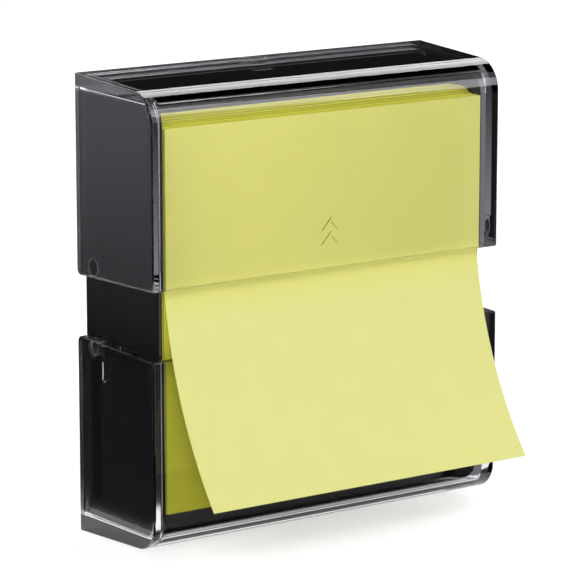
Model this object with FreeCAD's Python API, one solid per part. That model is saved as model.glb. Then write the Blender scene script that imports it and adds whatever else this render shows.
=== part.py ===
import FreeCAD, Part
import math
import os
from FreeCAD import Vector

os.makedirs("parts", exist_ok=True)

# A dispenser for square sticky notes: a black core tray holds the pad, and two equal clear covers
# slide apart on it, one up and one down. A loose note hangs out of the gap between their lips.
# While the pieces are made, X = 0 is the plane of symmetry, Y = 0 the front face of the covers
# with +Y to the rear, and Z = 0 the middle of the gap. Lengths are in millimetres.

# The notes
note_side = 76.0
pad_thickness = 10.0
backing_thickness = 0.3
sheet_thickness = 0.15
pad_lift = 0.2
pad_clearance = 0.3

# The loose note: it leaves the cover's lip on a short bend and then hangs on a wide one
sheet_clearance = 0.3
lip_bend_height = 8.2
lip_bend_radius = 25.0
lip_bend_deg = 9.0
hang_radius = 82.0

# The clear covers
cover_depth = 27.3
front_wall = 1.6
side_wall = 2.5
top_wall = 2.85
gap_half = 6.14
side_clearance = 0.4
top_clearance = 0.4
side_draft_deg = 0.95
inner_side_draft_deg = 0.6
top_draft_deg = 3.2
gap_draft_deg = 1.45
front_edge_radius = 6.0
inner_front_radius = 1.5
corner_radius = 0.4
inner_corner_radius = 0.9
heel_radius = 1.2
rim_chamfer = 0.3

# The guide pins of each cover, and the thinned land round each pin with its relief groove
pin_radius = 1.55
pin_from_rear = 4.4
pin_from_gap = 1.85
pin_tip_clearance = 0.4
pin_edge_chamfer = 0.3
relief_width = 1.8
relief_depth = 0.5
relief_height = 8.0
relief_from_pin = 4.1
land_height = 4.2
land_depth = 0.2

# The catch tongue at the rear of each cover, which drops into a notch of the tray
catch_width = 4.8
catch_thickness = 1.4
catch_drop = 1.5
catch_clearance = 0.3
catch_edge_radius = 0.4

# The core tray
tray_side_wall = 1.1
border_height = 4.4
core_draft_deg = 1.09
core_side_draft_deg = 0.4
pad_proud = 0.55
tray_front_radius = 5.0
tray_corner_radius = 0.9
floor_thickness = 1.6
rail_wall = 3.0
shell_wall = 1.6
rib_thickness = 1.2
rib_setback = 0.4
ribs_each_way = 3
boss_radius = 3.0
boss_inset = 9.0
peg_radius = 1.5
peg_length = 6.0
peg_clearance = 0.08
groove_clearance = 0.15
groove_depth = 1.8
slide_travel = 29.2

# The back plate
plate_thickness = 1.5
plate_seam = 0.05
plate_edge_chamfer = 0.5

# Every cut runs past its face by the overrun, what is joined is sunk in by the merge,
# and an edge is found when its middle is this close to where it is looked for
overrun = 1.0
merge = 0.5
pick_distance = 0.03


def spread(depth, angle_deg):
    """How far a drafted wall moves outwards over a depth."""
    return depth * math.tan(math.radians(angle_deg))


note_half = note_side / 2
pocket_half = note_half + pad_clearance
sheet_front = front_wall + sheet_clearance
pad_front = sheet_front + sheet_thickness
core_front = pad_front + pad_proud
pad_rear = pad_front + pad_thickness
floor_front = pad_rear + backing_thickness
floor_rear = floor_front + floor_thickness
core_half_width = pocket_half + tray_side_wall
core_half_height = pocket_half + border_height
tray_rear = cover_depth
plate_front = tray_rear + plate_seam
plate_rear = plate_front + plate_thickness
pin_y = cover_depth - pin_from_rear


def core_half_height_at(y):
    return core_half_height + spread(y - core_front, core_draft_deg)


def core_half_width_at(y):
    return core_half_width - spread(tray_rear - y, core_side_draft_deg)


def inner_half_width_at(y):
    return core_half_width + side_clearance - spread(cover_depth - y, inner_side_draft_deg)


def outer_half_width_at(y):
    return core_half_width + side_clearance + side_wall - spread(cover_depth - y, side_draft_deg)


def inner_top_at(y):
    return core_half_height_at(y) + top_clearance


def outer_top_at(y):
    return core_half_height_at(cover_depth) + top_clearance + top_wall - spread(cover_depth - y, top_draft_deg)


def gap_edge_at(y):
    return gap_half + spread(cover_depth - y, gap_draft_deg)


pin_z = gap_edge_at(pin_y) + pin_from_gap


def drafted_block(front_y, rear_y, half_width_at, low_at, high_at):
    """A block of flat faces: a rectangle at each end of its depth and drafted walls between them."""
    ends = []
    for y in (front_y, rear_y):
        half = half_width_at(y)
        low = low_at(y)
        high = high_at(y)
        ends.append([Vector(-half, y, low), Vector(half, y, low), Vector(half, y, high), Vector(-half, y, high)])
    front, rear = ends
    outlines = [front, rear]
    for corner in range(len(front)):
        after = (corner + 1) % len(front)
        outlines.append([front[corner], front[after], rear[after], rear[corner]])
    faces = [Part.Face(Part.makePolygon(outline + outline[:1])) for outline in outlines]
    solid = Part.makeSolid(Part.makeShell(faces))
    if solid.Volume < 0:
        solid.reverse()
    return solid


def edges_where(shape, test):
    """Edges whose middle point passes the test."""
    found = []
    for edge in shape.Edges:
        middle = edge.valueAt((edge.FirstParameter + edge.LastParameter) / 2)
        if test(middle):
            found.append(edge)
    return found


def near(value, target):
    return abs(value - target) < pick_distance


def box_between(low, high):
    """A box from its lowest to its highest corner."""
    size = high - low
    return Part.makeBox(size.x, size.y, size.z, low)


def upright_slot(radius, y, low_z, high_z, from_x, to_x):
    """A slot that runs up and down with round ends, cut across from one X to another."""
    length = to_x - from_x
    along = Vector(1, 0, 0)
    middle = box_between(Vector(from_x, y - radius, low_z), Vector(to_x, y + radius, high_z))
    ends = [Part.makeCylinder(radius, length, Vector(from_x, y, z), along) for z in (low_z, high_z)]
    return middle.fuse(ends).removeSplitter()


def on_both_sides(shape):
    """A shape made on the +X side and its mirror image on the -X side."""
    return [shape, shape.mirror(Vector(0, 0, 0), Vector(1, 0, 0))]


def low_of_cavity_at(y):
    return gap_edge_at(y) - overrun


def hood(front_y, rear_y, half_width_at, low_at, high_at, front_radius, side_radius):
    """The form that a cover's outside and its cavity share: drafted, open to the rear and the gap."""
    block = drafted_block(front_y, rear_y, half_width_at, low_at, high_at)
    front = edges_where(block, lambda p: near(p.y, front_y) and near(p.z, high_at(front_y)))
    block = block.makeFillet(front_radius, front)

    def on_side_round(point):
        on_side = near(abs(point.x), half_width_at(point.y))
        return on_side and point.y < rear_y - pick_distance and point.z > low_at(point.y) + pick_distance

    return block.makeFillet(side_radius, edges_where(block, on_side_round))


def cover_shell():
    """Front, top and side walls of one cover, with bevelled lips and rims."""
    outside = hood(0, cover_depth, outer_half_width_at, gap_edge_at, outer_top_at, front_edge_radius, corner_radius)
    cavity = hood(front_wall, cover_depth + overrun, inner_half_width_at, low_of_cavity_at, inner_top_at,
                  inner_front_radius, inner_corner_radius)
    shell = outside.cut(cavity)
    heels = edges_where(shell, lambda p: near(p.y, cover_depth) and near(p.z, gap_edge_at(cover_depth)))
    shell = shell.makeFillet(heel_radius, heels)
    rims = edges_where(shell, lambda p: near(p.z, gap_edge_at(p.y)))
    return shell.makeChamfer(rim_chamfer, rims)


def pin_land_cuts():
    """The thinned land round a guide pin and the relief groove in front of it, on both sides."""
    inner = inner_half_width_at(pin_y)
    relief_y = pin_y - relief_from_pin
    edge = gap_edge_at(relief_y)
    relief = upright_slot(relief_width / 2, relief_y, edge - overrun, edge + relief_height - relief_width / 2,
                          inner - overrun, inner + relief_depth)
    land_low = Vector(inner - overrun, relief_y, gap_half - overrun)
    land_high = Vector(inner + land_depth, cover_depth + overrun, gap_edge_at(pin_y) + land_height)
    return on_both_sides(relief) + on_both_sides(box_between(land_low, land_high))


def guide_pins():
    """Round pins on the inside of both side walls, near the corner between the rear and the gap."""
    tip = core_half_width_at(pin_y) - groove_depth + pin_tip_clearance
    length = inner_half_width_at(pin_y) + land_depth + merge - tip
    pin = Part.makeCylinder(pin_radius, length, Vector(tip, pin_y, pin_z), Vector(1, 0, 0))
    rim = edges_where(pin, lambda p: near(p.x, tip))
    return on_both_sides(pin.makeChamfer(pin_edge_chamfer, rim))


def catch_tongue():
    """The tongue that hangs from the top wall's rear edge, with its lower corners rounded."""
    rear_y = cover_depth - rim_chamfer
    front_y = rear_y - catch_thickness
    low = inner_top_at(front_y) - catch_drop
    high = inner_top_at(front_y) + merge
    half = catch_width / 2
    tongue = box_between(Vector(-half, front_y, low), Vector(half, rear_y, high))
    corners = edges_where(tongue, lambda p: near(abs(p.x), half) and near(p.z, low))
    return tongue.makeFillet(catch_edge_radius, corners)


def upper_cover():
    """Clear cover with its guide pins and catch tongue, open to the rear and to the gap."""
    shell = cover_shell().cut(pin_land_cuts())
    return shell.fuse(guide_pins() + [catch_tongue()]).removeSplitter()


def lower_cover():
    """The same moulding, turned over."""
    cover = upper_cover()
    cover.rotate(Vector(0, 0, 0), Vector(0, 1, 0), 180)
    return cover


def tray_outside():
    """The tray's drafted outside, with its front edges rounded under the covers."""
    def low_at(y):
        return -core_half_height_at(y)

    block = drafted_block(core_front, tray_rear, core_half_width_at, low_at, core_half_height_at)
    front = edges_where(block, lambda p: near(p.y, core_front) and near(abs(p.z), core_half_height))
    block = block.makeFillet(tray_front_radius, front)

    def on_side_round(point):
        return near(abs(point.x), core_half_width_at(point.y)) and point.y < tray_rear - pick_distance

    return block.makeFillet(tray_corner_radius, edges_where(block, on_side_round))


def tray_cavities():
    """The pad's pocket in front, open above and below, and the hollow behind its floor."""
    hollow_x = core_half_width - rail_wall
    hollow_z = core_half_height - shell_wall
    open_end = core_half_height_at(tray_rear) + overrun
    pocket = box_between(Vector(-pocket_half, core_front - overrun, -open_end),
                         Vector(pocket_half, floor_front, open_end))
    hollow = box_between(Vector(-hollow_x, floor_rear, -hollow_z), Vector(hollow_x, tray_rear + overrun, hollow_z))
    return [pocket, hollow]


def tray_grooves():
    """The four grooves that the covers' guide pins run in, open to the tray's sides."""
    radius = pin_radius + groove_clearance
    bottom = core_half_width_at(pin_y) - groove_depth
    groove = upright_slot(radius, pin_y, pin_z, pin_z + slide_travel, bottom, core_half_width + overrun)
    pair = on_both_sides(groove)
    return pair + [shape.mirror(Vector(0, 0, 0), Vector(0, 0, 1)) for shape in pair]


def catch_notches():
    """Notches in the tray's top and bottom that the covers' tongues drop into."""
    half = catch_width / 2 + catch_clearance
    front_y = cover_depth - rim_chamfer - catch_thickness
    floor_z = inner_top_at(front_y) - catch_drop - catch_clearance
    low = Vector(-half, front_y - catch_clearance, floor_z)
    high = Vector(half, tray_rear + overrun, core_half_height_at(tray_rear) + overrun)
    notch = box_between(low, high)
    return [notch, notch.mirror(Vector(0, 0, 0), Vector(0, 0, 1))]


def tray_ribs():
    """A lattice of upright and level ribs behind the floor."""
    hollow_x = core_half_width - rail_wall
    hollow_z = core_half_height - shell_wall
    rear_y = tray_rear - rib_setback
    half = rib_thickness / 2
    ribs = []
    for place in range(1, ribs_each_way + 1):
        share = 2 * place / (ribs_each_way + 1) - 1
        x = share * hollow_x
        z = share * hollow_z
        ribs.append(box_between(Vector(x - half, floor_rear - merge, -hollow_z - merge),
                                Vector(x + half, rear_y, hollow_z + merge)))
        ribs.append(box_between(Vector(-hollow_x - merge, floor_rear - merge, z - half),
                                Vector(hollow_x + merge, rear_y, z + half)))
    return ribs


def boss_places():
    """Where the back plate's pegs enter the tray, as X and Z."""
    x = core_half_width - rail_wall - boss_inset
    z = core_half_height - shell_wall - boss_inset
    return [(side * x, level * z) for side in (-1, 1) for level in (-1, 1)]


def tray_bosses():
    length = tray_rear - floor_rear + merge
    return [Part.makeCylinder(boss_radius, length, Vector(x, floor_rear - merge, z), Vector(0, 1, 0))
            for x, z in boss_places()]


def peg_holes():
    depth = peg_length + overrun
    radius = peg_radius + peg_clearance
    return [Part.makeCylinder(radius, depth + overrun, Vector(x, tray_rear - depth, z), Vector(0, 1, 0))
            for x, z in boss_places()]


def core_tray():
    """Black moulding: the pad's pocket in front, rails with grooves at the sides, ribs behind."""
    tray = tray_outside().cut(tray_cavities())
    tray = tray.fuse(tray_ribs() + tray_bosses())
    return tray.cut(tray_grooves() + catch_notches() + peg_holes()).removeSplitter()


def back_plate():
    """Black plate with four pegs that closes the tray and stands proud of the covers."""
    half_x = core_half_width
    half_z = core_half_height_at(tray_rear)
    plate = box_between(Vector(-half_x, plate_front, -half_z), Vector(half_x, plate_rear, half_z))
    uprights = edges_where(plate, lambda p: near(abs(p.x), half_x) and near(abs(p.z), half_z))
    plate = plate.makeFillet(tray_corner_radius, uprights)
    rear = edges_where(plate, lambda p: near(p.y, plate_rear))
    plate = plate.makeChamfer(plate_edge_chamfer, rear)
    length = peg_length + plate_seam + merge
    pegs = [Part.makeCylinder(peg_radius, length, Vector(x, tray_rear - peg_length, z), Vector(0, 1, 0))
            for x, z in boss_places()]
    return plate.fuse(pegs).removeSplitter()


def square_sheet(front_y, rear_y):
    """A flat square of paper or card between two depths."""
    low = Vector(-note_half, front_y, pad_lift - note_half)
    high = Vector(note_half, rear_y, pad_lift + note_half)
    return box_between(low, high)


def note_pad():
    """The stack of notes."""
    return square_sheet(pad_front, pad_rear)


def pad_backing():
    """The card that the stack is glued to."""
    return square_sheet(pad_rear, floor_front)


def loose_sheet_bends():
    """Centre, radius and start and end angle of each bend of the loose note's front face."""
    lip_turn = math.radians(lip_bend_deg)
    lip_centre = Vector(0, sheet_front - lip_bend_radius, lip_bend_height)
    flat_length = pad_lift + note_half - lip_bend_height
    hang_length = note_side - flat_length - lip_bend_radius * lip_turn
    hang_end = lip_turn + hang_length / hang_radius
    leaves = point_on_bend(lip_centre, lip_bend_radius, lip_turn)
    hang_centre = leaves + Vector(0, -math.cos(lip_turn), math.sin(lip_turn)) * hang_radius
    return [(lip_centre, lip_bend_radius, 0, lip_turn), (hang_centre, hang_radius, lip_turn, hang_end)]


def point_on_bend(centre, radius, angle):
    """A point of a bend, with the angle measured down from the rear."""
    return centre + Vector(0, math.cos(angle), -math.sin(angle)) * radius


def loose_sheet_side(offset):
    """Points and edges of one face of the loose note in the plane X = -half."""
    shift = Vector(-note_half, 0, 0)
    bends = loose_sheet_bends()
    top = Vector(-note_half, sheet_front + offset, pad_lift + note_half)
    first = point_on_bend(bends[0][0], bends[0][1] + offset, 0) + shift
    edges = [Part.makeLine(top, first)]
    for centre, radius, start, end in bends:
        angles = (start, (start + end) / 2, end)
        points = [point_on_bend(centre, radius + offset, angle) + shift for angle in angles]
        edges.append(Part.Arc(*points).toShape())
    return edges, top, points[-1]


def top_sheet():
    """The loose note: flat behind the upper cover, then out of the gap and down in one wide bend."""
    front, front_top, front_end = loose_sheet_side(0)
    rear, rear_top, rear_end = loose_sheet_side(sheet_thickness)
    ends = [Part.makeLine(front_top, rear_top), Part.makeLine(front_end, rear_end)]
    outline = Part.Wire(Part.__sortEdges__(front + rear + ends))
    return Part.Face(outline).extrude(Vector(note_side, 0, 0))


def to_row_frame(shape):
    """Moves the origin to the middle of the whole object's base."""
    centre, radius, start, end = loose_sheet_bends()[-1]
    reach = point_on_bend(centre, radius, end).y
    shape.translate(Vector(0, -(reach + plate_rear) / 2, outer_top_at(cover_depth)))
    return shape


nodes = {
    "core_tray": core_tray,
    "back_plate": back_plate,
    "upper_cover": upper_cover,
    "lower_cover": lower_cover,
    "note_pad": note_pad,
    "pad_backing": pad_backing,
    "top_sheet": top_sheet,
}

for name, build in nodes.items():
    piece = to_row_frame(build())
    piece.exportStep("parts/" + name + ".step")
    print(name, "valid", piece.isValid(), "solids", len(piece.Solids), "volume", round(piece.Volume))
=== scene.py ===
import math
import random

import bmesh
import bpy
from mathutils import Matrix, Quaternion, Vector


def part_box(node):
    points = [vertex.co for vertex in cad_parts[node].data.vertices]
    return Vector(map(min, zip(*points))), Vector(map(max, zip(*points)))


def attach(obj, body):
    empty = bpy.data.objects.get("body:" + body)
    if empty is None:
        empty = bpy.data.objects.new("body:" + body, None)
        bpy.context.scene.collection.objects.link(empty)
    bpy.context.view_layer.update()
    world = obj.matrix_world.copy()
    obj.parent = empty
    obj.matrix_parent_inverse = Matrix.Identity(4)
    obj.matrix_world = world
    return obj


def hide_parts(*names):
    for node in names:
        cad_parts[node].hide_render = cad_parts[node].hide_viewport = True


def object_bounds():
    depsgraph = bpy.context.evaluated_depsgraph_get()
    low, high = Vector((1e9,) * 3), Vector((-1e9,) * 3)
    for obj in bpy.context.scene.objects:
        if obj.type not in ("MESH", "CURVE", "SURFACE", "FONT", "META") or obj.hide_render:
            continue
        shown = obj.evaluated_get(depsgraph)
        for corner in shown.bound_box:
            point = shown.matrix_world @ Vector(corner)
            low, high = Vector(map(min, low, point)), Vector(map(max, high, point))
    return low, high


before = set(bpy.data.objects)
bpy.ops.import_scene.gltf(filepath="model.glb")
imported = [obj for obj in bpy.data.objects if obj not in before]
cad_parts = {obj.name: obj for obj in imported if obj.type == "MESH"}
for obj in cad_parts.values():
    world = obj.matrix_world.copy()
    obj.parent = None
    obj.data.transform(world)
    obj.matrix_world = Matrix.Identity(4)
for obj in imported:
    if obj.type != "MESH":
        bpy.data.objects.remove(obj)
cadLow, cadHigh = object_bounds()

# Sizes below are in millimetres and angles in degrees. The frame is in metres.
mm = 0.001
near = 0.02 * mm      # how close an edge or face has to be to where it is looked for
overrun = 1.0 * mm    # how far a cutter runs past the face that it cuts
rooted = 0.5 * mm     # how far an added form reaches into the wall that carries it
straight = 0.9        # a face looks along an axis when its normal's share of it is larger
fullRound = 0.98      # share of a slot's half width that rounds its end, just short of all of it
flatAngle = 32        # faces that meet at a smaller angle are shaded as one

trayLow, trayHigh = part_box("core_tray")
upperLow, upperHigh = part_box("upper_cover")
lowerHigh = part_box("lower_cover")[1]
plateLow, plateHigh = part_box("back_plate")
padLow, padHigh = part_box("note_pad")
frontY = upperLow.y
rearY = upperHigh.y
gapMiddle = (upperLow.z + lowerHigh.z) / 2
print("frame loaded, part is", [round(side / mm, 1) for side in cadHigh - cadLow], "mm")


# Camera, set as the photograph was taken

photoView = {
    "target": (-3.911, 2.474, 48.291),
    "azimuth": -34.762,
    "elevation": 11.889,
    "distance": 660.0,
    "lens": 206.11,
    "sensor": 36.0,
    "clipStart": 10.0,
}


def towards(azimuth, elevation):
    # unit direction from the object to something seen at that azimuth and height
    a = math.radians(azimuth)
    e = math.radians(elevation)
    return Vector((math.sin(a) * math.cos(e), -math.cos(a) * math.cos(e), math.sin(e)))


def addCamera(view):
    back = towards(view["azimuth"], view["elevation"])
    target = Vector(view["target"]) * mm
    bpy.ops.object.camera_add(location=target + back * view["distance"] * mm)
    camera = bpy.context.object
    camera.name = "photoCamera"
    camera.rotation_euler = (-back).to_track_quat("-Z", "Y").to_euler()
    camera.data.sensor_width = view["sensor"]
    camera.data.lens = view["lens"]
    camera.data.clip_start = view["clipStart"] * mm
    bpy.context.scene.camera = camera


addCamera(photoView)
print("camera set")


# Tools for modelling by place

def activate(piece):
    if bpy.context.object and bpy.context.object.mode != "OBJECT":
        bpy.ops.object.mode_set(mode="OBJECT")
    bpy.ops.object.select_all(action="DESELECT")
    piece.select_set(True)
    bpy.context.view_layer.objects.active = piece


def settle(piece):
    # the place goes into the mesh, so the object sits at the origin
    activate(piece)
    bpy.ops.object.transform_apply(location=True, rotation=True, scale=True)
    return piece


def addBox(name, low, high):
    low = Vector(low)
    high = Vector(high)
    bpy.ops.object.select_all(action="DESELECT")
    bpy.ops.mesh.primitive_cube_add(size=1, location=(low + high) / 2, scale=high - low)
    bpy.context.object.name = name
    return settle(bpy.context.object)


def addRod(name, radius, start, end, sides=48):
    start = Vector(start)
    end = Vector(end)
    along = end - start
    bpy.ops.object.select_all(action="DESELECT")
    turned = along.to_track_quat("Z", "Y").to_euler()
    bpy.ops.mesh.primitive_cylinder_add(vertices=sides, radius=radius, depth=along.length,
                                        location=(start + end) / 2, rotation=turned)
    bpy.context.object.name = name
    return settle(bpy.context.object)


def pick(piece, kind, test):
    # opens the piece for editing with the faces, edges or corners selected that pass the test
    activate(piece)
    bpy.ops.object.mode_set(mode="EDIT")
    bpy.ops.mesh.select_mode(type=kind)
    bpy.ops.mesh.select_all(action="DESELECT")
    edited = bmesh.from_edit_mesh(piece.data)
    parts = {"FACE": edited.faces, "EDGE": edited.edges, "VERT": edited.verts}[kind]
    for part in parts:
        if test(part):
            part.select_set(True)
    edited.select_flush_mode()
    bmesh.update_edit_mesh(piece.data)
    return sum(part.select for part in parts)


def middleOf(edge):
    return (edge.verts[0].co + edge.verts[1].co) / 2


def isAt(value, place):
    return abs(value - place) < near


def isAcross(edge):
    return abs(edge.verts[0].co.x - edge.verts[1].co.x) > near


def roundEdges(piece, width, segments, test):
    pick(piece, "EDGE", test)
    bpy.ops.mesh.bevel(offset=width * mm, segments=segments, profile=0.5, affect="EDGES")
    bpy.ops.object.mode_set(mode="OBJECT")
    return piece


def combine(piece, other, how):
    activate(piece)
    modifier = piece.modifiers.new("shape", "BOOLEAN")
    modifier.operation = how
    modifier.solver = "EXACT"
    modifier.object = other
    bpy.ops.object.modifier_apply(modifier=modifier.name)
    bpy.data.objects.remove(other)
    return piece


def cut(piece, cutter):
    return combine(piece, cutter, "DIFFERENCE")


def weld(piece, added):
    return combine(piece, added, "UNION")


def copyOf(piece, name):
    copied = piece.copy()
    copied.data = piece.data.copy()
    copied.name = name
    bpy.context.scene.collection.objects.link(copied)
    return copied


def smoothOver(piece, angle):
    # flat faces stay flat and the rounds between them shade smoothly
    activate(piece)
    bpy.ops.object.shade_smooth_by_angle(angle=math.radians(angle))
    modifier = piece.modifiers.new("flatFaces", "WEIGHTED_NORMAL")
    modifier.keep_sharp = True
    modifier.weight = 100
    bpy.ops.object.modifier_apply(modifier=modifier.name)
    return piece


def spreadOver(depth, draft):
    # how far a drafted wall moves over a depth
    return depth * math.tan(math.radians(draft))


def draftedBlock(name, rear, front):
    # rear and front are the half width, depth, lowest and highest place of each end
    rearHalf, rearAt, rearLow, rearHigh = rear
    frontHalf, frontAt, frontLow, frontHigh = front
    block = addBox(name, (-rearHalf, frontAt, rearLow), (rearHalf, rearAt, rearHigh))
    pick(block, "FACE", lambda face: face.normal.y < -straight)
    shrink = (frontHalf / rearHalf, 1, (frontHigh - frontLow) / (rearHigh - rearLow))
    bpy.ops.transform.resize(value=shrink, center_override=(0, frontAt, (rearLow + rearHigh) / 2))
    bpy.ops.transform.translate(value=(0, 0, (frontLow + frontHigh - rearLow - rearHigh) / 2))
    bpy.ops.object.mode_set(mode="OBJECT")
    return block


# Clear covers: one is modelled, and the other is the same moulding turned over

cover = {
    "frontWall": 1.6,
    "sideWall": 2.5,
    "topWall": 2.85,
    "clearance": 0.4,
    "gapHalf": 6.14,
    "sideDraft": 0.95,
    "innerSideDraft": 0.6,
    "topDraft": 3.2,
    "innerTopDraft": 1.09,
    "gapDraft": 1.45,
    "frontRound": 6.0,
    "innerFrontRound": 2.8,
    "sideRound": 0.4,
    "innerSideRound": 0.9,
    "heelRound": 1.2,
    "rimRound": 0.35,
    "rimReach": 1.5,
}
# shares of a rim face's normal: the most across, and the least to the rear or to the gap
rimLean = {"across": 0.02, "behind": 0.05, "under": 0.2}
guidePin = {
    "radius": 1.55,
    "fromRear": 4.4,
    "fromGap": 1.85,
    "tipGap": 1.4,
    "tipRound": 0.3,
    "landHeight": 4.2,
    "landDepth": 0.2,
    "reliefWidth": 1.8,
    "reliefDepth": 0.5,
    "reliefHeight": 8.0,
    "reliefFromPin": 4.1,
    "travel": 29.2,
}
catchTongue = {"width": 4.8, "thickness": 1.4, "drop": 1.5, "round": 0.4, "clearance": 0.3}
arrowMark = {
    "fromGap": 17.4,
    "spacing": 2.8,
    "halfWidth": 2.4,
    "rise": 2.6,
    "band": 1.0,
    "raised": 0.2,
    "sunk": 0.3,
    "edge": 0.12,
}
pinY = rearY - guidePin["fromRear"] * mm


def gapEdgeAt(y):
    return gapMiddle + cover["gapHalf"] * mm + spreadOver(rearY - y, cover["gapDraft"])


pinZ = gapEdgeAt(pinY) + guidePin["fromGap"] * mm


def hood(name, half, sideDraft, top, topDraft, front, rear, drop, frontRound, sideRound):
    # the drafted form that a cover's outside and its hollow share
    ends = []
    for y in (rear, front):
        depth = rearY - y
        high = top - spreadOver(depth, topDraft)
        ends.append((half - spreadOver(depth, sideDraft), y, gapEdgeAt(y) - drop, high))
    block = draftedBlock(name, ends[0], ends[1])
    frontTop = ends[1][3]
    roundEdges(block, frontRound, segments=16,
               test=lambda edge: isAt(middleOf(edge).y, front) and isAt(middleOf(edge).z, frontTop))

    def bySide(edge):
        place = middleOf(edge)
        wall = half - spreadOver(rearY - place.y, sideDraft)
        return (isAt(abs(place.x), wall) and place.y < rear - near
                and place.z > gapEdgeAt(place.y) - drop + near)

    return roundEdges(block, sideRound, segments=7, test=bySide)


def isRim(face):
    # faces that look to the rear or to the gap round the cover's mouth
    place = face.calc_center_median()
    reach = cover["rimReach"] * mm
    level = abs(face.normal.x) < rimLean["across"]
    behind = face.normal.y > rimLean["behind"] and place.y > rearY - reach
    under = face.normal.z < -rimLean["under"] and place.z < gapEdgeAt(place.y) + reach
    return level and (behind or under)


def coverShell():
    half = trayHigh.x + (cover["clearance"] + cover["sideWall"]) * mm
    top = trayHigh.z + (cover["clearance"] + cover["topWall"]) * mm
    shell = hood("upperCoverShell", half, cover["sideDraft"], top, cover["topDraft"],
                 frontY, rearY, 0, cover["frontRound"], cover["sideRound"])
    hollow = hood("hollow", half - cover["sideWall"] * mm, cover["innerSideDraft"],
                  top - cover["topWall"] * mm, cover["innerTopDraft"],
                  frontY + cover["frontWall"] * mm, rearY + overrun, overrun,
                  cover["innerFrontRound"], cover["innerSideRound"])
    cut(shell, hollow)
    roundEdges(shell, cover["heelRound"], segments=5,
               test=lambda edge: isAt(middleOf(edge).y, rearY) and isAt(middleOf(edge).z, gapEdgeAt(rearY)))
    pick(shell, "FACE", isRim)
    bpy.ops.mesh.region_to_loop()
    bpy.ops.mesh.bevel(offset=cover["rimRound"] * mm, segments=4, profile=0.5, affect="EDGES")
    bpy.ops.object.mode_set(mode="OBJECT")
    return shell


def innerWallAt(y):
    return trayHigh.x + cover["clearance"] * mm - spreadOver(rearY - y, cover["innerSideDraft"])


def cutLand(shell, side):
    # the thinned land round a pin, and the relief groove in front of it
    reliefY = pinY - guidePin["reliefFromPin"] * mm
    wall = innerWallAt(pinY)
    inner = side * (wall - overrun)
    cut(shell, addBox("land", (inner, reliefY, gapMiddle),
                      (side * (wall + guidePin["landDepth"] * mm), rearY + overrun,
                       gapEdgeAt(pinY) + guidePin["landHeight"] * mm)))
    radius = guidePin["reliefWidth"] / 2
    groove = addBox("relief", (inner, reliefY - radius * mm, gapMiddle),
                    (side * (wall + guidePin["reliefDepth"] * mm), reliefY + radius * mm,
                     gapEdgeAt(reliefY) + guidePin["reliefHeight"] * mm))
    roundEdges(groove, radius * fullRound, segments=8,
               test=lambda edge: isAcross(edge) and middleOf(edge).z > pinZ)
    cut(shell, groove)


def addPin(shell, side):
    tip = side * (trayHigh.x - guidePin["tipGap"] * mm)
    root = side * (innerWallAt(pinY) + guidePin["landDepth"] * mm + rooted)
    pin = addRod("pin", guidePin["radius"] * mm, (tip, pinY, pinZ), (root, pinY, pinZ))
    roundEdges(pin, guidePin["tipRound"], segments=3, test=lambda edge: isAt(middleOf(edge).x, tip))
    weld(shell, pin)


def addTongue(shell):
    half = catchTongue["width"] / 2 * mm
    rear = rearY - cover["rimRound"] * mm
    front = rear - catchTongue["thickness"] * mm
    ceiling = trayHigh.z + cover["clearance"] * mm
    low = ceiling - catchTongue["drop"] * mm
    tongue = addBox("tongue", (-half, front, low), (half, rear, ceiling + rooted))
    roundEdges(tongue, catchTongue["round"], segments=4,
               test=lambda edge: isAt(abs(middleOf(edge).x), half) and isAt(middleOf(edge).z, low))
    weld(shell, tongue)


def addWedge(tipZ, half, rise, low, high):
    # a peaked prism: a block whose top is drawn in to a ridge
    wedge = addBox("wedge", (-half, low, tipZ - rise), (half, high, tipZ))
    pick(wedge, "FACE", lambda face: face.normal.z > straight)
    bpy.ops.transform.resize(value=(0, 1, 1), center_override=(0, 0, tipZ))
    bpy.ops.mesh.remove_doubles(threshold=near)
    bpy.ops.object.mode_set(mode="OBJECT")
    return wedge


def addArrow(shell, tipZ):
    # one band of the double arrow, with softened edges, raised on the front wall
    half = arrowMark["halfWidth"] * mm
    rise = arrowMark["rise"] * mm
    band = arrowMark["band"] * mm
    raised = frontY - arrowMark["raised"] * mm
    arrow = addWedge(tipZ, half, rise, raised, frontY + arrowMark["sunk"] * mm)
    cut(arrow, addWedge(tipZ - band, half * 2, rise * 2, raised - overrun, frontY + overrun))
    roundEdges(arrow, arrowMark["edge"], segments=2, test=lambda edge: isAt(middleOf(edge).y, raised))
    weld(shell, arrow)


def upperCoverPiece():
    shell = coverShell()
    for side in (-1, 1):
        cutLand(shell, side)
        addPin(shell, side)
    addTongue(shell)
    for place in (arrowMark["fromGap"], arrowMark["fromGap"] - arrowMark["spacing"]):
        addArrow(shell, gapMiddle + place * mm)
    return shell


upperShell = upperCoverPiece()
lowerShell = copyOf(upperShell, "lowerCoverShell")
activate(lowerShell)
bpy.ops.transform.rotate(value=math.pi, orient_axis="Y", center_override=(0, 0, gapMiddle))
settle(lowerShell)
for shell in (upperShell, lowerShell):
    smoothOver(shell, flatAngle)
print("covers modelled,", len(upperShell.data.polygons), "faces each")


# Core tray: pocket for the notes in front, rails with grooves at the sides, cells behind

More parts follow.
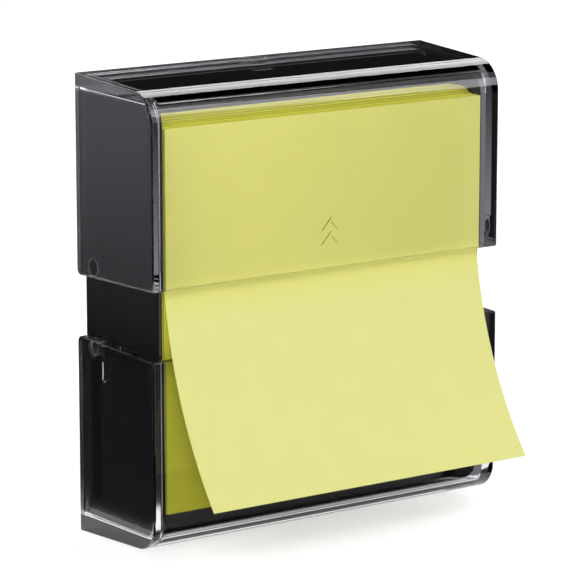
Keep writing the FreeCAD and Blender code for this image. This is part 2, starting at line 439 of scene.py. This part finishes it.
tray = {
    "sideDraft": 0.4,
    "topDraft": 1.09,
    "frontRound": 5.0,
    "sideRound": 0.9,
    "padGap": 0.3,
    "floor": 1.6,
    "railWall": 3.0,
    "shellWall": 1.6,
    "cellsEachWay": 4,
    "rib": 1.2,
    "ribSetback": 0.4,
    "bossRadius": 3.0,
    "bossInset": 9.0,
    "pegRadius": 1.5,
    "pegGap": 0.08,
    "pegDepth": 7.0,
    "grooveGap": 0.15,
    "grooveDepth": 1.8,
}
trayRear = trayHigh.y
trayHalf = trayHigh.x
trayTop = trayHigh.z - gapMiddle
trayFrontTop = trayTop - spreadOver(trayRear - trayLow.y, tray["topDraft"])
pocketHalf = padHigh.x + tray["padGap"] * mm
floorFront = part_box("pad_backing")[1].y
floorRear = floorFront + tray["floor"] * mm
hollowX = trayHalf - tray["railWall"] * mm
hollowZ = trayFrontTop - tray["shellWall"] * mm
bossX = hollowX - tray["bossInset"] * mm
bossZ = hollowZ - tray["bossInset"] * mm
bossPlaces = [(x, z) for x in (-bossX, bossX) for z in (gapMiddle - bossZ, gapMiddle + bossZ)]


def trayOutside():
    frontHalf = trayHalf - spreadOver(trayRear - trayLow.y, tray["sideDraft"])
    block = draftedBlock("coreTrayMoulding", (trayHalf, trayRear, gapMiddle - trayTop, gapMiddle + trayTop),
                         (frontHalf, trayLow.y, gapMiddle - trayFrontTop, gapMiddle + trayFrontTop))
    roundEdges(block, tray["frontRound"], segments=12,
               test=lambda edge: isAt(middleOf(edge).y, trayLow.y)
               and isAt(abs(middleOf(edge).z - gapMiddle), trayFrontTop))

    def bySide(edge):
        place = middleOf(edge)
        wall = trayHalf - spreadOver(trayRear - place.y, tray["sideDraft"])
        return isAt(abs(place.x), wall) and place.y < trayRear - near

    return roundEdges(block, tray["sideRound"], segments=5, test=bySide)


def joined(boxes):
    activate(boxes[0])
    for box in boxes:
        box.select_set(True)
    if len(boxes) > 1:
        bpy.ops.object.join()
    return boxes[0]


def rearCells():
    # the hollows between the ribs behind the floor
    count = tray["cellsEachWay"]
    halfRib = tray["rib"] / 2 * mm
    cells = []
    for column in range(count):
        for row in range(count):
            low = []
            high = []
            for place, reach in ((column, hollowX), (row, hollowZ)):
                start = (2 * place / count - 1) * reach
                end = (2 * (place + 1) / count - 1) * reach
                low.append(start + (halfRib if place > 0 else 0))
                high.append(end - (halfRib if place < count - 1 else 0))
            cells.append(addBox("cell", (low[0], floorRear, gapMiddle + low[1]),
                                (high[0], trayRear + overrun, gapMiddle + high[1])))
    return joined(cells)


def trayPiece():
    block = trayOutside()
    cut(block, addBox("pocket", (-pocketHalf, trayLow.y - overrun, gapMiddle - trayTop - overrun),
                      (pocketHalf, floorFront, gapMiddle + trayTop + overrun)))
    cut(block, rearCells())
    cut(block, addBox("setback", (-hollowX, trayRear - tray["ribSetback"] * mm, gapMiddle - hollowZ),
                      (hollowX, trayRear + overrun, gapMiddle + hollowZ)))
    for x, z in bossPlaces:
        weld(block, addRod("boss", tray["bossRadius"] * mm, (x, floorRear - tray["rib"] / 2 * mm, z),
                           (x, trayRear, z)))
        cut(block, addRod("pegHole", (tray["pegRadius"] + tray["pegGap"]) * mm,
                          (x, trayRear - tray["pegDepth"] * mm, z), (x, trayRear + overrun, z), sides=32))
    return block


def cutGroove(block, side, level):
    # a pin's groove, open to the tray's side, with round ends
    radius = guidePin["radius"] + tray["grooveGap"]
    reaches = (-radius, guidePin["travel"] + radius)
    ends = [gapMiddle + level * (pinZ - gapMiddle + reach * mm) for reach in reaches]
    groove = addBox("groove", (side * (trayHalf - tray["grooveDepth"] * mm), pinY - radius * mm, ends[0]),
                    (side * (trayHalf + overrun), pinY + radius * mm, ends[1]))
    cut(block, roundEdges(groove, radius * fullRound, segments=10, test=isAcross))


def cutNotch(block, level):
    # the notch that a cover's tongue drops into
    half = (catchTongue["width"] / 2 + catchTongue["clearance"]) * mm
    front = rearY - (cover["rimRound"] + catchTongue["thickness"] + catchTongue["clearance"]) * mm
    low = trayTop + (cover["clearance"] - catchTongue["drop"] - catchTongue["clearance"]) * mm
    cut(block, addBox("notch", (-half, front, gapMiddle + level * low),
                      (half, trayRear + overrun, gapMiddle + level * (trayTop + overrun))))


trayMoulding = trayPiece()
for level in (-1, 1):
    cutNotch(trayMoulding, level)
    for side in (-1, 1):
        cutGroove(trayMoulding, side, level)
smoothOver(trayMoulding, flatAngle)
print("core tray modelled,", len(trayMoulding.data.polygons), "faces")


# Back plate, with the pegs that hold it in the tray

plate = {"seam": 0.05, "corner": 0.9, "rearEdge": 0.5, "frontEdge": 0.2, "pegLength": 6.0, "pegTip": 0.3}


def platePiece():
    seam = trayRear + plate["seam"] * mm
    piece = addBox("backPlateMoulding", (plateLow.x, seam, plateLow.z), plateHigh)
    roundEdges(piece, plate["corner"], segments=5,
               test=lambda edge: abs(edge.verts[0].co.y - edge.verts[1].co.y) > near)
    roundEdges(piece, plate["rearEdge"], segments=4, test=lambda edge: isAt(middleOf(edge).y, plateHigh.y))
    roundEdges(piece, plate["frontEdge"], segments=2, test=lambda edge: isAt(middleOf(edge).y, seam))
    tip = trayRear - plate["pegLength"] * mm
    root = plateHigh.y - plate["rearEdge"] * mm
    for x, z in bossPlaces:
        peg = addRod("peg", tray["pegRadius"] * mm, (x, tip, z), (x, root, z), sides=32)
        roundEdges(peg, plate["pegTip"], segments=2, test=lambda edge: isAt(middleOf(edge).y, tip))
        weld(piece, peg)
    return smoothOver(piece, flatAngle)


plateMoulding = platePiece()
print("back plate modelled")


# Note pad: a stack of leaves, each a little out of line with the next

notePad = {"leaves": 50, "outOfLine": 0.07, "seed": 7}


def padPiece():
    leaf = (padHigh.y - padLow.y) / notePad["leaves"]
    stack = addBox("notePadStack", padLow, (padHigh.x, padLow.y + leaf, padHigh.z))
    modifier = stack.modifiers.new("leaves", "ARRAY")
    modifier.count = notePad["leaves"]
    modifier.use_relative_offset = False
    modifier.use_constant_offset = True
    modifier.constant_offset_displace = (0, leaf, 0)
    activate(stack)
    bpy.ops.object.modifier_apply(modifier=modifier.name)
    chance = random.Random(notePad["seed"])
    shifts = [(chance.uniform(-1, 1), chance.uniform(-1, 1)) for _ in range(notePad["leaves"])]
    perLeaf = len(stack.data.vertices) // notePad["leaves"]
    for corner in stack.data.vertices:
        across, up = shifts[corner.index // perLeaf]
        corner.co.x += across * notePad["outOfLine"] * mm
        corner.co.z += up * notePad["outOfLine"] * mm
    return stack


padStack = padPiece()
print("note pad modelled,", notePad["leaves"], "leaves")


# Loose note: it leaves the cover's lip on a short bend and hangs on a wide one

looseNote = {
    "side": 76.0,
    "thickness": 0.15,
    "lipHeight": 8.2,
    "lipRadius": 25.0,
    "lipTurn": 9.0,
    "hangRadius": 82.0,
    "columns": 24,
    "flatRows": 8,
    "lipRows": 5,
    "hangRows": 24,
    "smoothAngle": 40,
}


def looseNotePiece():
    side = looseNote["side"] * mm
    halfThick = looseNote["thickness"] / 2 * mm
    sheetY = padLow.y - halfThick
    lipZ = gapMiddle + looseNote["lipHeight"] * mm
    topZ = padHigh.z
    lipRadius = looseNote["lipRadius"] * mm + halfThick
    hangRadius = looseNote["hangRadius"] * mm + halfThick
    lipTurn = math.radians(looseNote["lipTurn"])
    hangTurn = (side - (topZ - lipZ) - lipRadius * lipTurn) / hangRadius
    bpy.ops.object.select_all(action="DESELECT")
    bpy.ops.mesh.primitive_grid_add(x_subdivisions=looseNote["columns"],
                                    y_subdivisions=looseNote["flatRows"], size=1,
                                    location=(0, sheetY, (topZ + lipZ) / 2), rotation=(math.pi / 2, 0, 0))
    sheet = bpy.context.object
    sheet.name = "looseNoteSheet"
    sheet.scale = (side, topZ - lipZ, 1)
    settle(sheet)
    away = Vector((0, math.cos(lipTurn), -math.sin(lipTurn)))
    lipCentre = Vector((0, sheetY - lipRadius, lipZ))
    hangCentre = lipCentre + away * (lipRadius - hangRadius)
    pick(sheet, "EDGE", lambda edge: isAt(middleOf(edge).z, lipZ))
    for steps, turn, centre in ((looseNote["lipRows"], lipTurn, lipCentre),
                                (looseNote["hangRows"], hangTurn, hangCentre)):
        bpy.ops.mesh.spin(steps=steps, angle=turn, center=centre, axis=(1, 0, 0))
    bpy.ops.mesh.select_all(action="SELECT")
    bpy.ops.mesh.remove_doubles(threshold=near)
    bpy.ops.mesh.normals_make_consistent(inside=False)
    bpy.ops.object.mode_set(mode="OBJECT")
    modifier = sheet.modifiers.new("thickness", "SOLIDIFY")
    modifier.thickness = looseNote["thickness"] * mm
    modifier.offset = 0
    activate(sheet)
    bpy.ops.object.modifier_apply(modifier=modifier.name)
    return smoothOver(sheet, looseNote["smoothAngle"])


noteSheet = looseNotePiece()
print("loose note modelled")


# Shader groups

def newGroup(name, inputs, outputs):
    group = bpy.data.node_groups.new(name, "ShaderNodeTree")
    for label, kind, value in inputs:
        socket = group.interface.new_socket(label, in_out="INPUT", socket_type=kind)
        socket.default_value = value
    for label, kind in outputs:
        group.interface.new_socket(label, in_out="OUTPUT", socket_type=kind)
    return group, group.nodes.new("NodeGroupInput"), group.nodes.new("NodeGroupOutput")


def addNode(tree, kind, **values):
    node = tree.nodes.new(kind)
    for label, value in values.items():
        if hasattr(node, label):
            setattr(node, label, value)
        else:
            node.inputs[label.replace("_", " ")].default_value = value
    return node


def feed(tree, value, socket):
    # another node's socket is linked, and a number or a colour is typed in
    if isinstance(value, bpy.types.NodeSocket):
        tree.links.new(value, socket)
    else:
        socket.default_value = value


def addMath(tree, operation, first, second=0.0):
    node = addNode(tree, "ShaderNodeMath", operation=operation)
    feed(tree, first, node.inputs[0])
    feed(tree, second, node.inputs[1])
    return node.outputs[0]


def addNoise(tree, place, scale, detail, roughness=0.5):
    noise = addNode(tree, "ShaderNodeTexNoise", Detail=detail, Roughness=roughness)
    tree.links.new(place, noise.inputs["Vector"])
    feed(tree, scale, noise.inputs["Scale"])
    return noise.outputs["Fac"]


def mouldedSurface():
    # fine moulding grain, with handling marks that change the roughness in soft patches
    group, start, end = newGroup("mouldedSurface", [
        ("Roughness", "NodeSocketFloat", 0.3),
        ("Smudge", "NodeSocketFloat", 0.1),
        ("Patch Size", "NodeSocketFloat", 60.0),
        ("Grain Size", "NodeSocketFloat", 4000.0),
    ], [("Roughness", "NodeSocketFloat"), ("Height", "NodeSocketFloat"), ("Patches", "NodeSocketFloat")])
    place = addNode(group, "ShaderNodeTexCoord").outputs["Object"]
    patches = addNoise(group, place, start.outputs["Patch Size"], detail=3.0)
    grain = addNoise(group, place, start.outputs["Grain Size"], detail=2.0)
    swing = addMath(group, "SUBTRACT", patches, 0.5)
    change = addMath(group, "MULTIPLY", swing, start.outputs["Smudge"])
    group.links.new(addMath(group, "ADD", start.outputs["Roughness"], change), end.inputs["Roughness"])
    group.links.new(grain, end.inputs["Height"])
    group.links.new(patches, end.inputs["Patches"])
    return group


def paperFibre():
    # short fibres and faint clouding of uncoated paper and card
    group, start, end = newGroup("paperFibre", [
        ("Colour", "NodeSocketColor", (0.8, 0.8, 0.8, 1.0)),
        ("Clouding", "NodeSocketFloat", 0.05),
        ("Fibre Size", "NodeSocketFloat", 3000.0),
        ("Cloud Size", "NodeSocketFloat", 140.0),
    ], [("Colour", "NodeSocketColor"), ("Height", "NodeSocketFloat")])
    place = addNode(group, "ShaderNodeTexCoord").outputs["Object"]
    fibre = addNoise(group, place, start.outputs["Fibre Size"], detail=6.0, roughness=0.7)
    cloud = addNoise(group, place, start.outputs["Cloud Size"], detail=4.0)
    swing = addMath(group, "SUBTRACT", addMath(group, "ADD", cloud, fibre), 1.0)
    change = addMath(group, "MULTIPLY", swing, start.outputs["Clouding"])
    brightness = addNode(group, "ShaderNodeHueSaturation")
    group.links.new(addMath(group, "ADD", change, 1.0), brightness.inputs["Value"])
    group.links.new(start.outputs["Colour"], brightness.inputs["Color"])
    group.links.new(brightness.outputs["Color"], end.inputs["Colour"])
    group.links.new(fibre, end.inputs["Height"])
    return group


surfaceGroup = mouldedSurface()
fibreGroup = paperFibre()


# Materials: colours and values of each finish, with depths and heights in millimetres

clearLook = {
    "colour": (0.965, 0.965, 0.985, 1.0),
    "ior": 1.49,
    "roughness": 0.012,
    "smudge": 0.02,
    "lampColour": (0.965, 0.965, 0.975, 1.0),
    "rimRoughness": 0.25,
    "mattRoughness": 0.4,
    "mattRing": 0.35,
    "lipColour": (0.35, 0.35, 0.35, 1.0),
    "lipDepth": 0.45,
    # painted shade: the lips' rounds get this darker colour in place of the lip's shadow
    "lipPaintedShade": (0.7, 0.7, 0.52, 1.0),
    "lipRoughness": 0.25,
}
blackLook = {
    "dark": (0.008, 0.008, 0.009, 1.0),
    "light": (0.012, 0.012, 0.013, 1.0),
    "ior": 1.5,
    "roughness": 0.16,
    "smudge": 0.06,
    "grain": 0.03,
    "grainDepth": 0.02,
}
# paper: its face, its face under a cover, made deeper there as painted shade, and its cut edges, made deeper
# as painted shade
sheetLook = {
    "colour": (0.83, 0.82, 0.295, 1.0),
    "paintedCoverShade": (0.82, 0.81, 0.22, 1.0),
    "edge": (0.6, 0.59, 0.15, 1.0),
    "clouding": 0.06,
    "fibre": 0.12,
    "roughness": 0.9,
}
# painted shade: the pad is the same paper as the loose note, given a deeper, more saturated colour for the
# shade it lies in
padShadedLook = {
    "colour": (0.77, 0.76, 0.065, 1.0),
    # painted shade: the cut edges' deeper colour
    "edge": (0.39, 0.38, 0.04, 1.0),
    "clouding": 0.06,
    "fibre": 0.12,
    "roughness": 0.9,
}
cardLook = {
    "colour": (0.62, 0.58, 0.5, 1.0),
    # painted shade: the cut edges' deeper colour
    "edge": (0.5, 0.46, 0.38, 1.0),
    "clouding": 0.16,
    "fibre": 0.25,
    "roughness": 0.92,
}
# shares of a paper surface's normal at which it counts as a cut edge and as a face
paperTurn = {"edge": 0.05, "face": 0.3}
paperShine = 0.25
fibreDepth = 0.03


def newMaterial(name):
    material = bpy.data.materials.new(name)
    material.use_nodes = True
    tree = material.node_tree
    tree.nodes.clear()
    return material, tree, addNode(tree, "ShaderNodeOutputMaterial")


def addBump(tree, height, strength, distance):
    bump = addNode(tree, "ShaderNodeBump", Strength=strength, Distance=distance)
    tree.links.new(height, bump.inputs["Height"])
    return bump.outputs["Normal"]


def placeOnPiece(tree):
    split = addNode(tree, "ShaderNodeSeparateXYZ")
    tree.links.new(addNode(tree, "ShaderNodeTexCoord").outputs["Object"], split.inputs["Vector"])
    return split.outputs["X"], split.outputs["Y"], split.outputs["Z"]


def riseBetween(tree, value, low, high):
    # 0 up to the low value and 1 from the high one on
    rise = addNode(tree, "ShaderNodeMapRange", From_Min=low, From_Max=high)
    tree.links.new(value, rise.inputs["Value"])
    return rise.outputs["Result"]


def mixColours(tree, share, first, second):
    mix = addNode(tree, "ShaderNodeMixRGB")
    tree.links.new(share, mix.inputs["Fac"])
    feed(tree, first, mix.inputs["Color1"])
    feed(tree, second, mix.inputs["Color2"])
    return mix.outputs["Color"]


def largest(tree, first, *others):
    for other in others:
        first = addMath(tree, "MAXIMUM", first, other)
    return first


def pinRounds(tree, fromCentre, y, fromMiddle):
    # 1 in a narrow band along each guide pin's round, inside the wall
    along = addMath(tree, "SUBTRACT", y, pinY)
    above = addMath(tree, "SUBTRACT", fromMiddle, pinZ - gapMiddle)
    square = addMath(tree, "ADD", addMath(tree, "MULTIPLY", along, along),
                     addMath(tree, "MULTIPLY", above, above))
    fromRound = addMath(tree, "SUBTRACT", addMath(tree, "SQRT", square), guidePin["radius"] * mm)
    ring = addMath(tree, "LESS_THAN", addMath(tree, "ABSOLUTE", fromRound), clearLook["mattRing"] * mm)
    inner = upperHigh.x - (cover["sideWall"] - clearLook["mattRing"]) * mm
    return addMath(tree, "MULTIPLY", ring, addMath(tree, "LESS_THAN", fromCentre, inner))


def tongues(tree, fromCentre, y, fromMiddle):
    # 1 on the catch tongues
    behind = addMath(tree, "GREATER_THAN", y, rearY - 2 * catchTongue["thickness"] * mm)
    ceiling = upperHigh.z - gapMiddle - cover["topWall"] * mm
    under = addMath(tree, "LESS_THAN", fromMiddle, ceiling - near)
    middle = addMath(tree, "LESS_THAN", fromCentre, catchTongue["width"] * mm / 2 + near)
    return addMath(tree, "MULTIPLY", middle, addMath(tree, "MULTIPLY", behind, under))


def clearPlastic():
    material, tree, output = newMaterial("clearPlastic")
    surface = addNode(tree, "ShaderNodeGroup", node_tree=surfaceGroup)
    surface.inputs["Roughness"].default_value = clearLook["roughness"]
    surface.inputs["Smudge"].default_value = clearLook["smudge"]
    shader = addNode(tree, "ShaderNodeBsdfPrincipled", IOR=clearLook["ior"])
    shader.inputs["Transmission Weight"].default_value = 1.0
    x, y, z = placeOnPiece(tree)
    fromCentre = addMath(tree, "ABSOLUTE", x)
    fromMiddle = addMath(tree, "ABSOLUTE", addMath(tree, "SUBTRACT", z, gapMiddle))
    # painted shade: the rounds of the lips in front get a darker base colour, so they show as a thin darker
    # line in place of the lip's shadow on the sheet
    lipLevel = gapEdgeAt(frontY) - gapMiddle
    lipHeight = addMath(tree, "LESS_THAN", fromMiddle, lipLevel + cover["rimRound"] * mm)
    atFront = addMath(tree, "LESS_THAN", y, frontY + cover["frontRound"] * mm)
    frontLip = addMath(tree, "MULTIPLY", lipHeight, atFront)
    paintedLipTone = mixColours(tree, frontLip, clearLook["colour"], clearLook["lipPaintedShade"])
    tree.links.new(paintedLipTone, shader.inputs["Base Color"])
    # the lips, the rear rims, the guide pins' rounds and the tongues are less polished than the walls
    rearRim = addMath(tree, "GREATER_THAN", y, rearY - 2 * near)
    matt = largest(tree, pinRounds(tree, fromCentre, y, fromMiddle), tongues(tree, fromCentre, y, fromMiddle))
    rough = largest(tree, surface.outputs["Roughness"],
                    addMath(tree, "MULTIPLY", matt, clearLook["mattRoughness"]),
                    addMath(tree, "MULTIPLY", rearRim, clearLook["rimRoughness"]),
                    addMath(tree, "MULTIPLY", frontLip, clearLook["lipRoughness"]))
    tree.links.new(rough, shader.inputs["Roughness"])
    # lamps shine through the plastic instead of being stopped by it, and less so through a lip
    lip = addMath(tree, "LESS_THAN", fromMiddle, lipLevel + clearLook["lipDepth"] * mm)
    passing = addNode(tree, "ShaderNodeBsdfTransparent")
    tree.links.new(mixColours(tree, lip, clearLook["lampColour"], clearLook["lipColour"]),
                   passing.inputs["Color"])
    rays = addNode(tree, "ShaderNodeLightPath")
    mix = addNode(tree, "ShaderNodeMixShader")
    tree.links.new(rays.outputs["Is Shadow Ray"], mix.inputs["Fac"])
    tree.links.new(shader.outputs["BSDF"], mix.inputs[1])
    tree.links.new(passing.outputs["BSDF"], mix.inputs[2])
    tree.links.new(mix.outputs["Shader"], output.inputs["Surface"])
    return material


def blackPlastic():
    material, tree, output = newMaterial("blackPlastic")
    surface = addNode(tree, "ShaderNodeGroup", node_tree=surfaceGroup)
    surface.inputs["Roughness"].default_value = blackLook["roughness"]
    surface.inputs["Smudge"].default_value = blackLook["smudge"]
    shader = addNode(tree, "ShaderNodeBsdfPrincipled", IOR=blackLook["ior"])
    tone = addNode(tree, "ShaderNodeValToRGB")
    tone.color_ramp.elements[0].color = blackLook["dark"]
    tone.color_ramp.elements[1].color = blackLook["light"]
    tree.links.new(surface.outputs["Patches"], tone.inputs["Fac"])
    tree.links.new(tone.outputs["Color"], shader.inputs["Base Color"])
    tree.links.new(surface.outputs["Roughness"], shader.inputs["Roughness"])
    grain = addBump(tree, surface.outputs["Height"], blackLook["grain"], blackLook["grainDepth"] * mm)
    tree.links.new(grain, shader.inputs["Normal"])
    tree.links.new(shader.outputs["BSDF"], output.inputs["Surface"])
    return material


def paperMaterial(name, look):
    material, tree, output = newMaterial(name)
    fibre = addNode(tree, "ShaderNodeGroup", node_tree=fibreGroup)
    # painted shade: a face is given a deeper colour where a cover is over it, standing in for the dimmer
    # light under the plastic
    z = placeOnPiece(tree)[2]
    paintedCoverShade = riseBetween(tree, z, gapMiddle, upperLow.z)
    face = mixColours(tree, paintedCoverShade, look["colour"], look.get("paintedCoverShade", look["colour"]))
    # painted shade: the cut edges of the leaves are given a deeper colour than their faces, for the shade on
    # the stack's top and sides
    normal = addNode(tree, "ShaderNodeSeparateXYZ")
    tree.links.new(addNode(tree, "ShaderNodeNewGeometry").outputs["Normal"], normal.inputs["Vector"])
    facing = addMath(tree, "ABSOLUTE", normal.outputs["Y"])
    uncut = riseBetween(tree, facing, paperTurn["edge"], paperTurn["face"])
    tone = mixColours(tree, uncut, look["edge"], face)
    tree.links.new(tone, fibre.inputs["Colour"])
    fibre.inputs["Clouding"].default_value = look["clouding"]
    shader = addNode(tree, "ShaderNodeBsdfPrincipled", Roughness=look["roughness"])
    shader.inputs["Specular IOR Level"].default_value = paperShine
    tree.links.new(fibre.outputs["Colour"], shader.inputs["Base Color"])
    nap = addBump(tree, fibre.outputs["Height"], look["fibre"], fibreDepth * mm)
    tree.links.new(nap, shader.inputs["Normal"])
    tree.links.new(shader.outputs["BSDF"], output.inputs["Surface"])
    return material


clear = clearPlastic()
black = blackPlastic()
sheetPaper = paperMaterial("sheetPaper", sheetLook)
padPaperShaded = paperMaterial("padPaperShaded", padShadedLook)
backingCard = paperMaterial("backingCard", cardLook)


def dress(piece, material, slot, body, *nodes):
    piece.data.materials.clear()
    piece.data.materials.append(material)
    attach(piece, body)
    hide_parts(*nodes)


dress(upperShell, clear, "clear_plastic", "upper", "upper_cover")
dress(lowerShell, clear, "clear_plastic", "lower", "lower_cover")
dress(trayMoulding, black, "black_plastic", "core", "core_tray")
dress(plateMoulding, black, "black_plastic", "core", "back_plate")
dress(padStack, padPaperShaded, "note_paper", "core", "note_pad")
dress(noteSheet, sheetPaper, "note_paper", "core", "top_sheet")
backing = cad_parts["pad_backing"]
backing.data.materials.clear()
backing.data.materials.append(backingCard)
print("pieces dressed")


# Floor, lamps, cards and world

studio = {
    "floorSide": 6000.0,
    "floorColour": (0.8, 0.8, 0.8, 1.0),
    "floorWhite": 0.54,
    "horizon": (0.35, 0.35, 0.36, 1.0),
    "horizonHeight": 0.1,
    "overhead": (0.9, 0.9, 0.92, 1.0),
    "overheadHeight": 0.6,
    "worldStrength": 0.4,
}
white = (1.0, 1.0, 1.0)
lamps = {
    "key": {"azimuth": 41.5, "elevation": 29.0, "distance": 900.0, "size": (260.0, 640.0), "lean": 25.0,
            "watts": 2.3, "colour": (0.94, 0.93, 1.0)},
    "fill": {"azimuth": -50.0, "elevation": 32.0, "distance": 1000.0, "size": (700.0, 700.0), "lean": 0.0,
             "watts": 5.4, "colour": white},
    "rimLow": {"azimuth": 141.0, "elevation": 26.0, "distance": 900.0, "size": (260.0, 310.0), "lean": 20.0,
               "watts": 0.56, "colour": white},
    "rimHigh": {"azimuth": 124.0, "elevation": 46.0, "distance": 900.0, "size": (280.0, 400.0), "lean": 40.0,
                "watts": 1.6, "colour": white},
}
# glowing cards close round the object, mostly dark, which only reflections and clear plastic see, so their
# tones are painted reflections:
# the middle, the way each one faces, width and height, then its tones from foot to head
flags = {
    "left": {"middle": (-50.0, 15.0, 48.0), "turn": 90.0, "size": (90.0, 95.0), "tones": (0.02, 0.12, 0.31)},
    "front": {"middle": (40.0, -57.0, 47.5), "turn": 35.0, "size": (150.0, 95.0), "tones": [0.01] * 3},
    "right": {"middle": (50.0, 0.0, 42.0), "turn": 90.0, "size": (60.0, 83.0), "tones": [0.2] * 3},
    "rear": {"middle": (23.5, 36.0, 54.0), "turn": 0.0, "size": (123.0, 107.0), "tones": (0.02, 0.25, 0.02)},
}
# cards that only the light inside the clear plastic meets, so that its edges don't glare; their glow is
# painted reflection too
visors = {
    "frontVisor": {"middle": (50.0, -80.0, 110.0), "turn": 35.0, "size": (220.0, 130.0), "tones": [0.06] * 3},
    "rearVisor": {"middle": (60.0, 75.0, 165.0), "turn": -40.0, "size": (260.0, 120.0), "tones": [0.3] * 3},
}
# and two that lie flat, over the object and in front of its foot, also painted reflections
flatFlags = {
    "roof": {"middle": (80.0, -21.0, 260.0), "turn": 0.0, "size": (360.0, 118.0), "tones": [0.005] * 3},
    "apron": {"middle": (40.0, -48.0, 0.3), "turn": 0.0, "size": (220.0, 78.0), "tones": [0.012] * 3},
}
# the tint of the cards' glow, part of the painted reflections
paintedReflectionTint = (0.93, 0.92, 1.0)
# the heights of a card's three tones, as shares of the object's height
toneShares = (0.38, 0.5, 0.88)


def addLamp(name, lamp):
    middle = (cadLow + cadHigh) / 2
    place = middle + towards(lamp["azimuth"], lamp["elevation"]) * lamp["distance"] * mm
    bpy.ops.object.light_add(type="AREA", location=place)
    light = bpy.context.object
    light.name = name + "Lamp"
    aim = (middle - place).to_track_quat("-Z", "Y")
    light.rotation_euler = (aim @ Quaternion((0, 0, 1), math.radians(lamp["lean"]))).to_euler()
    light.data.shape = "RECTANGLE"
    light.data.size = lamp["size"][0] * mm
    light.data.size_y = lamp["size"][1] * mm
    light.data.energy = lamp["watts"]
    light.data.color = lamp["colour"]


def backgroundRays(tree):
    # 1 for the rays that meet a white background, 0 for those that light the object
    rays = addNode(tree, "ShaderNodeLightPath")
    return largest(tree, rays.outputs["Is Camera Ray"], rays.outputs["Is Glossy Ray"],
                   rays.outputs["Is Transmission Ray"])


def addFloor():
    bpy.ops.object.select_all(action="DESELECT")
    bpy.ops.mesh.primitive_plane_add(size=studio["floorSide"] * mm, location=(0, 0, 0))
    floor = bpy.context.object
    floor.name = "studioFloor"
    material, tree, output = newMaterial("paleFloor")
    diffuse = addNode(tree, "ShaderNodeBsdfDiffuse", Color=studio["floorColour"])
    glow = addNode(tree, "ShaderNodeEmission")
    shining = addMath(tree, "MULTIPLY", backgroundRays(tree), studio["floorWhite"])
    tree.links.new(shining, glow.inputs["Strength"])
    both = addNode(tree, "ShaderNodeAddShader")
    tree.links.new(diffuse.outputs["BSDF"], both.inputs[0])
    tree.links.new(glow.outputs["Emission"], both.inputs[1])
    tree.links.new(both.outputs["Shader"], output.inputs["Surface"])
    floor.data.materials.append(material)


def flagMaterial(name, tones):
    # a card that glows as a painted reflection, with a tone that changes softly from its foot to its head
    material, tree, output = newMaterial(name + "Card")
    height = riseBetween(tree, placeOnPiece(tree)[2], 0.0, cadHigh.z)
    ramp = addNode(tree, "ShaderNodeValToRGB")
    ramp.color_ramp.elements.new(toneShares[1])
    for stop, place, tone in zip(ramp.color_ramp.elements, toneShares, tones):
        stop.position = place
        stop.color = [tone * share for share in paintedReflectionTint] + [1.0]
    tree.links.new(height, ramp.inputs["Fac"])
    glow = addNode(tree, "ShaderNodeEmission")
    tree.links.new(ramp.outputs["Color"], glow.inputs["Color"])
    tree.links.new(glow.outputs["Emission"], output.inputs["Surface"])
    return material


def addFlag(name, flag, upright, mirrored=True):
    bpy.ops.object.select_all(action="DESELECT")
    bpy.ops.mesh.primitive_plane_add(size=1, location=[place * mm for place in flag["middle"]])
    card = bpy.context.object
    card.name = name + "Flag"
    card.rotation_euler = (math.pi / 2 if upright else 0, 0, math.radians(flag["turn"]))
    card.scale = (flag["size"][0] * mm, flag["size"][1] * mm, 1)
    settle(card)
    card.data.materials.append(flagMaterial(name, flag["tones"]))
    card.visible_camera = False
    card.visible_diffuse = False
    card.visible_shadow = False
    card.visible_glossy = mirrored


def addWorld():
    world = bpy.data.worlds.new("studioWorld")
    world.use_nodes = True
    bpy.context.scene.world = world
    tree = world.node_tree
    tree.nodes.clear()
    output = addNode(tree, "ShaderNodeOutputWorld")
    sky = addNode(tree, "ShaderNodeBackground", Strength=studio["worldStrength"])
    backdrop = addNode(tree, "ShaderNodeBackground", Strength=1.0, Color=(1.0, 1.0, 1.0, 1.0))
    split = addNode(tree, "ShaderNodeSeparateXYZ")
    tree.links.new(addNode(tree, "ShaderNodeTexCoord").outputs["Generated"], split.inputs["Vector"])
    ramp = addNode(tree, "ShaderNodeValToRGB")
    ramp.color_ramp.elements[0].position = studio["horizonHeight"]
    ramp.color_ramp.elements[0].color = studio["horizon"]
    ramp.color_ramp.elements[1].position = studio["overheadHeight"]
    ramp.color_ramp.elements[1].color = studio["overhead"]
    tree.links.new(split.outputs["Z"], ramp.inputs["Fac"])
    tree.links.new(ramp.outputs["Color"], sky.inputs["Color"])
    mix = addNode(tree, "ShaderNodeMixShader")
    tree.links.new(backgroundRays(tree), mix.inputs["Fac"])
    tree.links.new(sky.outputs["Background"], mix.inputs[1])
    tree.links.new(backdrop.outputs["Background"], mix.inputs[2])
    tree.links.new(mix.outputs["Shader"], output.inputs["Surface"])


for name, lamp in lamps.items():
    addLamp(name, lamp)
for name, flag in flags.items():
    addFlag(name, flag, upright=True)
for name, flag in visors.items():
    addFlag(name, flag, upright=True, mirrored=False)
for name, flag in flatFlags.items():
    addFlag(name, flag, upright=False)
addFloor()
addWorld()
bpy.context.scene.view_settings.view_transform = "Standard"
print("studio set")
